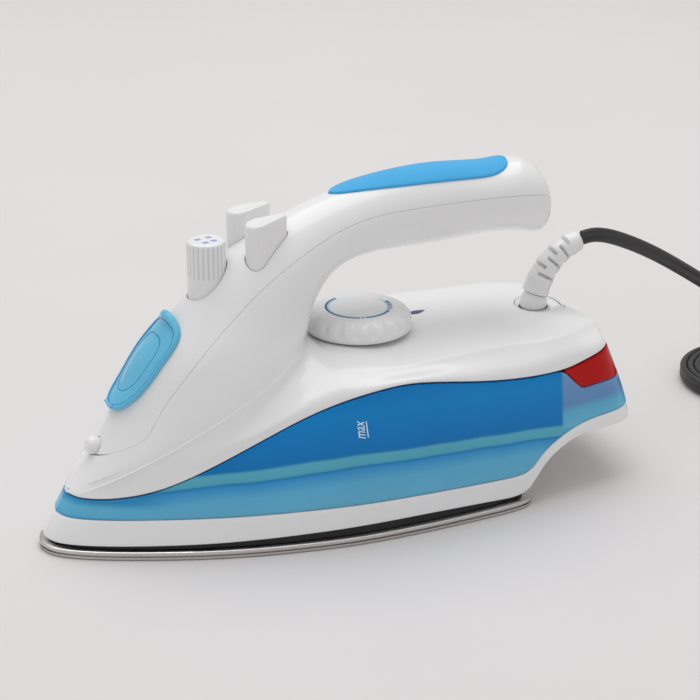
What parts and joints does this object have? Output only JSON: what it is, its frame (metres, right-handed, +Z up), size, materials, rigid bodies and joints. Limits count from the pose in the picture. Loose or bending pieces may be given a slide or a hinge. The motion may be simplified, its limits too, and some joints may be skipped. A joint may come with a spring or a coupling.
{
  "type": "steam iron",
  "caption": "Household steam iron with a white body, clear blue water tank, soft grip on an open-ended handle, heat dial, steam knob, spray and burst buttons, and a cord on a swivel.",
  "frame": {"origin": "centre of the iron's bounding box at the sole's underside, measured without the cord and plug", "axes": "+X towards the heel and the cord, -X towards the nose, +Y across the iron to its far side, +Z up"},
  "size_m": [0.5444, 0.124, 0.1546],
  "materials": {
    "body_shell": "glossy white",
    "burst_button": "satin white",
    "burst_button_spring": "bright",
    "burst_piston": "grey moulded",
    "burst_pump_body": "moulded white",
    "cord": "dark grey flexible",
    "cord_guard": "satin white",
    "cord_hank": "dark grey flexible",
    "cord_swivel_ball": "glossy white",
    "cord_tail": "dark grey flexible",
    "cord_tie_front": "dark grey flexible",
    "cord_tie_rear": "dark grey flexible",
    "dial_spindle": "bright",
    "filler_cover": "translucent pale blue",
    "filler_cover_pin": "bright",
    "filler_funnel": "moulded white",
    "grip_insert": "matt sky blue soft pad",
    "heat_shield": "black heat-resistant plastic",
    "heater_casting": "as cast",
    "heater_lead_far": "woven glass sleeve",
    "heater_lead_near": "woven glass sleeve",
    "heating_element": "matt",
    "heel_cover": "glossy white",
    "heel_cover_screw_far": "bright",
    "heel_cover_screw_near": "bright",
    "pilot_lamp": "small neon lamp",
    "plug_blade_far": "turned",
    "plug_blade_near": "turned",
    "plug_body": "dark grey flexible",
    "rear_lamp_lens": "clear red",
    "skirt": "glossy white",
    "soleplate": "polished flat sole with a grooved rim",
    "spray_button": "satin white",
    "spray_button_spring": "bright",
    "spray_hose": "clear soft hose",
    "spray_nozzle": "glossy white",
    "spray_piston": "grey moulded",
    "spray_pump_body": "moulded white",
    "steam_chamber_cover": "as cast",
    "steam_knob": "satin white",
    "steam_valve_rod": "turned",
    "steam_valve_seat": "turned",
    "swivel_collar": "glossy white",
    "swivel_socket": "satin white",
    "tank_lid": "moulded white",
    "tank_rear_wall": "clear blue",
    "terminal_block": "moulded white",
    "thermal_fuse": "matt",
    "thermostat": "matt",
    "thermostat_dial": "satin white",
    "thermostat_lead_far": "woven glass sleeve",
    "thermostat_lead_near": "woven glass sleeve",
    "thermostat_well": "moulded white",
    "top_cover": "glossy white",
    "water_tank": "clear blue"
  },
  "bodies": {
    "iron": {"body_shell": "body_shell", "burst_button_spring": "burst_button_spring", "burst_pump_body": "burst_pump_body", "cord": "cord", "cord_hank": "cord_hank", "cord_tail": "cord_tail", "cord_tie_front": "cord_tie_front", "cord_tie_rear": "cord_tie_rear", "filler_cover_pin": "filler_cover_pin", "filler_funnel": "filler_funnel", "grip_insert": "grip_insert", "heat_shield": "heat_shield", "heater_casting": "heater_casting", "heater_lead_far": "heater_lead_far", "heater_lead_near": "heater_lead_near", "heating_element": "heating_element", "heel_cover": "heel_cover", "heel_cover_screw_far": "heel_cover_screw_far", "heel_cover_screw_near": "heel_cover_screw_near", "pilot_lamp": "pilot_lamp", "plug_blade_far": "plug_blade_far", "plug_blade_near": "plug_blade_near", "plug_body": "plug_body", "rear_lamp_lens": "rear_lamp_lens", "skirt": "skirt", "soleplate": "soleplate", "spray_button_spring": "spray_button_spring", "spray_hose": "spray_hose", "spray_nozzle": "spray_nozzle", "spray_pump_body": "spray_pump_body", "steam_chamber_cover": "steam_chamber_cover", "steam_valve_seat": "steam_valve_seat", "swivel_collar": "swivel_collar", "swivel_socket": "swivel_socket", "tank_lid": "tank_lid", "tank_rear_wall": "tank_rear_wall", "terminal_block": "terminal_block", "thermal_fuse": "thermal_fuse", "thermostat": "thermostat", "thermostat_lead_far": "thermostat_lead_far", "thermostat_lead_near": "thermostat_lead_near", "thermostat_well": "thermostat_well", "top_cover": "top_cover", "water_tank": "water_tank"},
    "filler_lid": {"filler_cover": "filler_cover"},
    "steam_control": {"steam_knob": "steam_knob"},
    "steam_valve": {"steam_valve_rod": "steam_valve_rod"},
    "spray_push": {"spray_button": "spray_button", "spray_piston": "spray_piston"},
    "burst_push": {"burst_button": "burst_button", "burst_piston": "burst_piston"},
    "heat_dial": {"thermostat_dial": "thermostat_dial", "dial_spindle": "dial_spindle"},
    "cord_swivel": {"cord_swivel_ball": "cord_swivel_ball", "cord_guard": "cord_guard"}
  },
  "joints": [
    {"name": "filler_lid_hinge", "type": "hinge", "parent": "iron", "child": "filler_lid", "pos_m": [-0.10899, 0, 0.0642], "axis": [0, -1, 0], "range_deg": [0, 75]},
    {"name": "steam_control_turn", "type": "hinge", "parent": "iron", "child": "steam_control", "pos_m": [-0.061, 0, 0.104], "axis": [0, 0, 1], "range_deg": [0, 270]},
    {"name": "steam_valve_lift", "type": "slide", "parent": "iron", "child": "steam_valve", "axis": [0, 0, 1], "range_m": [0, 0.0031]},
    {"name": "spray_push_slide", "type": "slide", "parent": "iron", "child": "spray_push", "axis": [0, 0, -1], "range_m": [0, 0.005], "stiffness_N_per_m": 900, "springref_m": -0.002, "deforming": ["spray_button_spring"]},
    {"name": "burst_push_slide", "type": "slide", "parent": "iron", "child": "burst_push", "axis": [0, 0, -1], "range_m": [0, 0.005], "stiffness_N_per_m": 900, "springref_m": -0.002, "deforming": ["burst_button_spring"]},
    {"name": "heat_dial_turn", "type": "hinge", "parent": "iron", "child": "heat_dial", "pos_m": [0.013, 0, 0.0809], "axis": [0, 0, 1], "range_deg": [0, 290]},
    {"name": "cord_swivel_turn", "type": "hinge", "parent": "iron", "child": "cord_swivel", "pos_m": [0.106, 0, 0.077], "axis": [0, 0, 1], "range_deg": [-45, 45]}
  ],
  "couplings": [
    {"joint": "steam_valve_lift", "follows": "steam_control_turn", "m_per_rad": 0.00063662}
  ]
}
